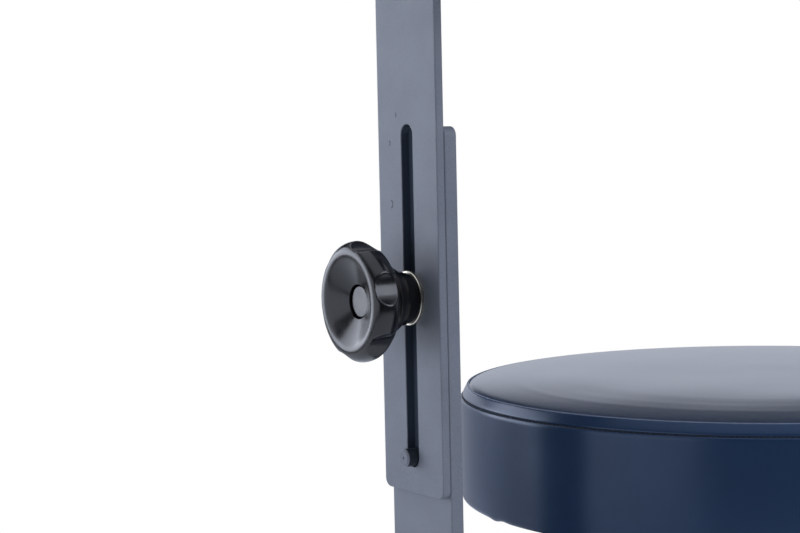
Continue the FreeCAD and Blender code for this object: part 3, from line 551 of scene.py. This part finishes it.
def makeSeat():
    count, rings = seat["segments"], []
    turns = np.degrees(ringTurns(count))
    pucker = sum(np.exp(-((turns - at) / wide) ** 2) * high for at, wide, high in seat["puckers"])
    folds = np.abs(np.sin(np.radians(turns) * seat["pleats"] / 2 + unevenness(count, seat["pleatSeed"])))
    slack = unevenness(count, seat["unevenSeed"])
    points, sewn = seatProfile()
    line = curveProfile(points, seat["stepMm"])
    ahead = np.cos(np.radians(turns - seat["frontTurn"]))
    # the worn front's share is 1 in front, and about half at the sides and the back
    front = 0.5 + 0.5 * ahead + seat["backShare"] * np.minimum(ahead, 0) ** 2
    for width, height, frontHeight in line:
        side = fade(seat["unevenTop"] - height, seat["unevenFade"])
        side *= fade(height - seatFoot, seat["footFade"])
        flat = circleRing(1.0, count) * (width + slack * seat["unevenMm"] * side)[:, None] * mm
        sunk = crownSink(seat["swellMm"], width / seat["swellR"]) * (height > 0)
        crown = fade(seat["rippleR"] - width, seat["rippleFade"]) * (height > 0)
        crown *= fade(width - seat["middleR"], seat["middleFade"])
        low = fade(seat["puckerTop"] - height, seat["puckerFade"])
        under = fade(seat["pleatR"] - width, seat["pleatFade"]) * (height < seatFoot + seat["pleatHigh"])
        level = height + (frontHeight - height) * front - sunk
        level = level + ripples(flat) * seat["rippleMm"] * crown + pucker * low
        rings.append(np.column_stack([flat, seamZ + (level + folds * under * seat["pleatMm"]) * mm]))
    low, high = sewn["turn"][1], sewn["row"][1]
    held = nearestRows(line, sewn.values())
    held |= {ring for ring, measures in enumerate(line) if low < measures[1] < high}  # the band is glued
    rings = swell(rings, held, seat["swellMm"], False)
    inner = np.flatnonzero(line[:, 0] < seat["levelR"])
    middle = rings[len(inner)][:, 2].mean()
    for ring in inner:  # the middle is level, so that it shows no pole
        share = line[ring, 0] / seat["levelR"]
        rings[ring][:, 2] = middle + (rings[ring][:, 2] - middle) * share ** 2 * (3 - 2 * share)
    return ringMesh("seatCover", rings, True, False, vinyl)


seatCover = makeSeat()
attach(seatCover, "seat")
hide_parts("seat_cover", "seat_foam")
print("seat cover", len(seatCover.data.polygons), "faces")
seamRing = circleRing((seat["seamR"] + seat["beadOut"]) * mm, seat["beadSteps"])
# the seam's roll wears a pale colour as a painted highlight
seatSeam = makeBead("seatSeam", levelPath(seamRing, seamZ - seat["beadDrop"] * mm), seat["beadMm"],
                    seat["beadSides"], paintedSeamHighlight)
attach(seatSeam, "seat")
seatRow = circleRing((seat["stitchR"] + seat["rowOut"]) * mm, seat["rowSteps"])
sewRow("seatStitches", levelPath(seatRow, seamZ - seat["stitchDrop"] * mm), "seat")


# arm pad: the same rings, drawn as a crescent round the column

pad = {  # half widths and drops from the top in mm, span in degrees each way
    "middleR": 213, "span": 30, "arcSteps": 64, "endSteps": 40, "stepMm": 1.8,
    "stitchHalf": 47.6, "stitchDrop": 16.0, "swellMm": 1.2, "swellHalf": 40, "crownLow": 20,
    "beadHalf": 45.6, "beadDrop": 8.9, "beadMm": 0.45, "beadSides": 10,
}


def crescentRing(half):  # outline of the pad at this half width
    span = math.radians(pad["span"])
    middle, points = pad["middleR"], []
    for t in np.linspace(-span, span, pad["arcSteps"]):
        points.append((-(middle + half) * math.cos(t), -(middle + half) * math.sin(t)))
    for side in (1, -1):
        centre = (-middle * math.cos(side * span), -middle * math.sin(side * span))
        first = side * span if side == 1 else math.pi + side * span
        for t in np.linspace(0, math.pi, pad["endSteps"] + 2)[1:-1]:
            points.append((centre[0] - half * math.cos(first + t), centre[1] - half * math.sin(first + t)))
        if side == 1:
            for t in np.linspace(span, -span, pad["arcSteps"]):
                points.append((-(middle - half) * math.cos(t), -(middle - half) * math.sin(t)))
    return np.array(points) * mm


def padProfile():  # half width and height from the underside, from the crown to the middle of the underside
    top = (padHigh.z - padLow.z) / mm
    seam, row = (45.3, top - 9.3), (47.3, top - 16.0)
    under = [(44.5, 0.1), (36, 0), (20, 0), (0.5, 0)]
    points = [
        (0.5, top), (14, top - 0.5), (26, top - 1.7), (34, top - 3.3), (39, top - 5.4), (42.6, top - 7.6),
        (44.6, top - 9.2), seam, (45.8, top - 8.9), (46.4, top - 9.6), (47.3, top - 12), (48.0, top - 15.0),
        row, (48.2, top - 17.0), (49.6, 22), (49.9, 14), (49.2, 6), (47.4, 1.6),
    ]
    return points + under, [seam, row] + under


def makePad():
    points, sewn = padProfile()
    line = curveProfile(points, pad["stepMm"])
    rings = []
    for half, height in line:
        sunk = crownSink(pad["swellMm"], half / pad["swellHalf"]) * (height > pad["crownLow"])
        rings.append(levelPath(crescentRing(half), padLow.z + (height - sunk) * mm))
    rings = swell(rings, nearestRows(line, sewn), pad["swellMm"], True)
    return ringMesh("armPad", rings, True, True, vinyl)


armPad = makePad()
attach(armPad, "armrest")
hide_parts("arm_cover", "arm_foam")
print("arm pad", len(armPad.data.polygons), "faces")
beadPath = levelPath(crescentRing(pad["beadHalf"]), padHigh.z - pad["beadDrop"] * mm)
# the pad's seam roll wears the same pale painted highlight
padSeam = makeBead("padSeam", beadPath, pad["beadMm"], pad["beadSides"], paintedSeamHighlight)
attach(padSeam, "armrest")
padRow = crescentRing(pad["stitchHalf"])
sewRow("padStitches", levelPath(padRow, padHigh.z - pad["stitchDrop"] * mm), "armrest")


# clamp knob: a turned blank with six shallow flutes across its rim

knob = {  # radii and edge in mm, turn and sharp in degrees
    "flutes": 6, "fluteR": 16.7, "floorR": 29.2, "turn": 14.0, "edge": 0.9, "segments": 600, "sharp": 24,
}
knobParts = [  # (step, points): radius and distance from the bar, in runs with a crisp corner between them
    (2.0, [(0.4, 22.4), (5.05, 22.4)]), (5.0, [(5.05, 22.4), (5.05, 2)]), (3.0, [(5.05, 2), (13.5, 2)]),
    (0.5, [(13.5, 2), (14.0, 2.5)]), (1.2, [(14.0, 2.5), (14.0, 5.7)]), (0.5, [(14.0, 5.7), (14.9, 6.1)]),
    (0.6, [(14.9, 6.1), (15.1, 8.6), (16.1, 10.2), (18.6, 14.0), (21.2, 17.9), (24.6, 20.9), (28.0, 23.7),
           (30.4, 25.8), (32.2, 28.5), (32.9, 31.7), (32.6, 34.4), (31.6, 36.9), (30.1, 38.55), (28.6, 39.4),
           (27.0, 39.75), (25.4, 39.7), (23.9, 39.35), (22.4, 38.8), (21.2, 38.3), (20.0, 37.76)]),
    (2.5, [(20.0, 37.76), (9.5, 33.0)]), (1.5, [(9.5, 33.0), (9.4, 27.7)]), (3.0, [(9.4, 27.7), (0.4, 27.7)]),
]


def fluteWall(angle):  # radius of the flute's surface at this angle, from the middle of the nearest flute
    pitch = 2 * math.pi / knob["flutes"]
    off = abs((angle - math.radians(knob["turn"]) + pitch / 2) % pitch - pitch / 2)
    out = knob["floorR"] + knob["fluteR"]
    across = knob["fluteR"] ** 2 - (out * math.sin(off)) ** 2
    return out * math.cos(off) - math.sqrt(across) if across > 0 else 2 * out


def makeKnob():
    count = knob["segments"]
    turns = ringTurns(count)
    wall = np.array([fluteWall(turn) for turn in turns])
    rings = []
    for index, (step, part) in enumerate(knobParts):
        for radius, along in curveProfile(part, step)[min(index, 1):]:  # a later run shares its first point
            gap = np.maximum(knob["edge"] - np.abs(wall - radius), 0) / knob["edge"]
            reach = np.minimum(wall, radius) - gap * gap * knob["edge"] / 4  # the flutes' edges are rounded
            rings.append(np.column_stack([np.full(count, frontX - along * mm), -reach * np.sin(turns) * mm,
                                          knobZ + reach * np.cos(turns) * mm]))
    piece = ringMesh("knobBody", rings, True, True, gloss)
    piece.data.set_sharp_from_angle(angle=math.radians(knob["sharp"]))
    return piece


knobBody = makeKnob()
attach(knobBody, "knob")
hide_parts("knob_body")
print("knob", len(knobBody.data.polygons), "faces")


# room, lights and camera

def makeFloor():  # pale paper that goes white with distance, and is white in reflections
    look = {"radius": 1.9, "corners": 96, "colour": "#e9e9e8", "rough": 0.9, "glow": 0.3, "fadeFrom": 0.7,
            "fadeTo": 1.8, "mirrored": "#dfe7f6", "seen": "#ffffff", "strength": 1.15}
    material, tree, place = newMaterial("palePaperFloor")
    paper = addNode(tree, "ShaderNodeBsdfPrincipled",
                    {"Base Color": look["colour"], "Roughness": look["rough"]})
    reach = addNode(tree, "ShaderNodeVectorMath", {0: place}, operation="LENGTH")
    far = addNode(tree, "ShaderNodeMapRange", {"Value": reach, "From Min": look["fadeFrom"],
                                               "From Max": look["fadeTo"], "To Min": look["glow"]})
    ways = addNode(tree, "ShaderNodeLightPath").outputs
    seen = addNode(tree, "ShaderNodeMath", {0: far, 1: ways["Is Camera Ray"]}, operation="MULTIPLY")
    either = addNode(tree, "ShaderNodeMath", {0: seen, 1: ways["Is Glossy Ray"]}, operation="MAXIMUM")
    shade = addNode(tree, "ShaderNodeMix", {"Factor": ways["Is Camera Ray"], "A": look["mirrored"],
                                            "B": look["seen"]}, data_type="RGBA")
    white = addNode(tree, "ShaderNodeEmission", {"Color": shade, "Strength": look["strength"]})
    mixed = addNode(tree, "ShaderNodeMixShader", {0: either, 1: paper, 2: white})
    addNode(tree, "ShaderNodeOutputMaterial", {"Surface": mixed})
    corners = [(x, y, 0) for x, y in circleRing(look["radius"], look["corners"])]
    floor = meshPiece("paleFloor", corners, [tuple(range(len(corners)))], material, False)


photo = {  # the camera, fitted to the bars, the knob and the seat: degrees, pixels, and metres from the knob
    "azimuth": -31.8249, "elevation": 3.9431, "roll": -1.2467, "focalPixels": 1929.9, "imageWidth": 800,
    "sensorMm": 36, "clipEnd": 200, "fromKnob": (-0.56102, -0.89447, 0.09018),
}


def makeCamera():
    azimuth, elevation, roll = (math.radians(photo[angle]) for angle in ("azimuth", "elevation", "roll"))
    back = Vector((math.sin(azimuth) * math.cos(elevation), -math.cos(azimuth) * math.cos(elevation),
                   math.sin(elevation)))
    right = Vector((math.cos(azimuth), math.sin(azimuth), 0))
    above = back.cross(right)
    across = right * math.cos(roll) + above * math.sin(roll)
    upward = above * math.cos(roll) - right * math.sin(roll)
    data = bpy.data.cameras.new("photoCamera")
    data.sensor_fit = "HORIZONTAL"
    data.sensor_width = photo["sensorMm"]
    data.lens = photo["focalPixels"] * photo["sensorMm"] / photo["imageWidth"]
    data.clip_end = photo["clipEnd"]
    camera = addObject("photoCamera", data)
    knobFoot = Vector((frontX, 0, knobZ))
    turn = Matrix((across, upward, back)).transposed().to_4x4()
    camera.matrix_world = Matrix.Translation(knobFoot + Vector(photo["fromKnob"])) @ turn
    scene.camera = camera
    return back


def makeWorld(back):  # a white backdrop and ceiling for reflections, in a dim room
    look = {
        "backdrop": 1.85, "room": 0.07, "ceiling": 1.15, "ambient": 0.16, "tint": "#e9effc",
        "seen": "#ffffff", "facing": 0.6,
        "bandStops": ((0.43, 0.24), (0.5, 0.5), (0.55, 0.5), (0.574, 1.0), (0.6, 0.0)),
        "overStops": ((0.73, 0.0), (0.87, 1.0)),  # of the height from straight down, 0, to straight up, 1
    }
    world = bpy.data.worlds.new("studio")
    scene.world = world
    world.use_nodes = True
    tree = world.node_tree
    tree.nodes.clear()
    ways = addNode(tree, "ShaderNodeLightPath").outputs
    place = addNode(tree, "ShaderNodeTexCoord").outputs["Generated"]
    facing = addNode(tree, "ShaderNodeVectorMath", {0: place, 1: tuple(-back)}, operation="DOT_PRODUCT")
    height = addNode(tree, "ShaderNodeSeparateXYZ", {0: place}).outputs["Z"]
    sweep = addNode(tree, "ShaderNodeMapRange", {"Value": facing, "From Max": look["facing"]})
    share = addNode(tree, "ShaderNodeMapRange", {"Value": height, "From Min": -1.0})
    band = addNode(tree, "ShaderNodeValToRGB", {"Fac": share}, look["bandStops"])
    over = addNode(tree, "ShaderNodeValToRGB", {"Fac": share}, look["overStops"])
    wall = addNode(tree, "ShaderNodeMath", {0: sweep, 1: band}, operation="MULTIPLY")
    lit = addNode(tree, "ShaderNodeMapRange",
                  {"Value": wall, "To Min": look["room"], "To Max": look["backdrop"]})
    mirrored = addNode(tree, "ShaderNodeMath", {0: over, 1: look["ceiling"], 2: lit},
                       operation="MULTIPLY_ADD")
    glossy = addNode(tree, "ShaderNodeMix",
                     {"Factor": ways["Is Glossy Ray"], "A": look["ambient"], "B": mirrored})
    seen = addNode(tree, "ShaderNodeMath", {0: ways["Is Camera Ray"], 1: ways["Is Transmission Ray"]},
                   operation="MAXIMUM")
    strength = addNode(tree, "ShaderNodeMix", {"Factor": seen, "A": glossy, "B": 1.0})
    colour = addNode(tree, "ShaderNodeMix", {"Factor": seen, "A": look["tint"], "B": look["seen"]},
                     data_type="RGBA")
    sky = addNode(tree, "ShaderNodeBackground", {"Color": colour, "Strength": strength})
    addNode(tree, "ShaderNodeOutputWorld", {"Surface": sky})


lamps = {  # where from and where to, width and height, in metres; watts
    "keySoftbox": {"start": (-0.95, 1.27, 0.82), "aim": (-0.25, 0, 0.58), "size": (0.9, 0.86), "watts": 7.8},
    "leftPanel": {"start": (-2.2, 0.4, 0.58), "aim": (-0.2, 0, 0.5), "size": (3.4, 1.1), "watts": 15.5},
    "frontFill": {"start": (0.9, -2.2, 1.7), "aim": (-0.1, 0, 0.5), "size": (1.6, 1.6), "watts": 35},
}
lampTint = "#eaf0ff"


def addLamp(name, lamp):
    data = bpy.data.lights.new(name, "AREA")
    data.color = linear(lampTint)[:3]
    data.shape = "RECTANGLE"
    data.size, data.size_y = lamp["size"]
    data.energy = lamp["watts"]
    start = Vector(lamp["start"])
    turn = (Vector(lamp["aim"]) - start).to_track_quat("-Z", "Y")
    addObject(name, data).matrix_world = Matrix.Translation(start) @ turn.to_matrix().to_4x4()


makeFloor()
makeWorld(makeCamera())
for name, lamp in lamps.items():
    addLamp(name, lamp)
scene.view_settings.view_transform = "Standard"
print("studio ready")
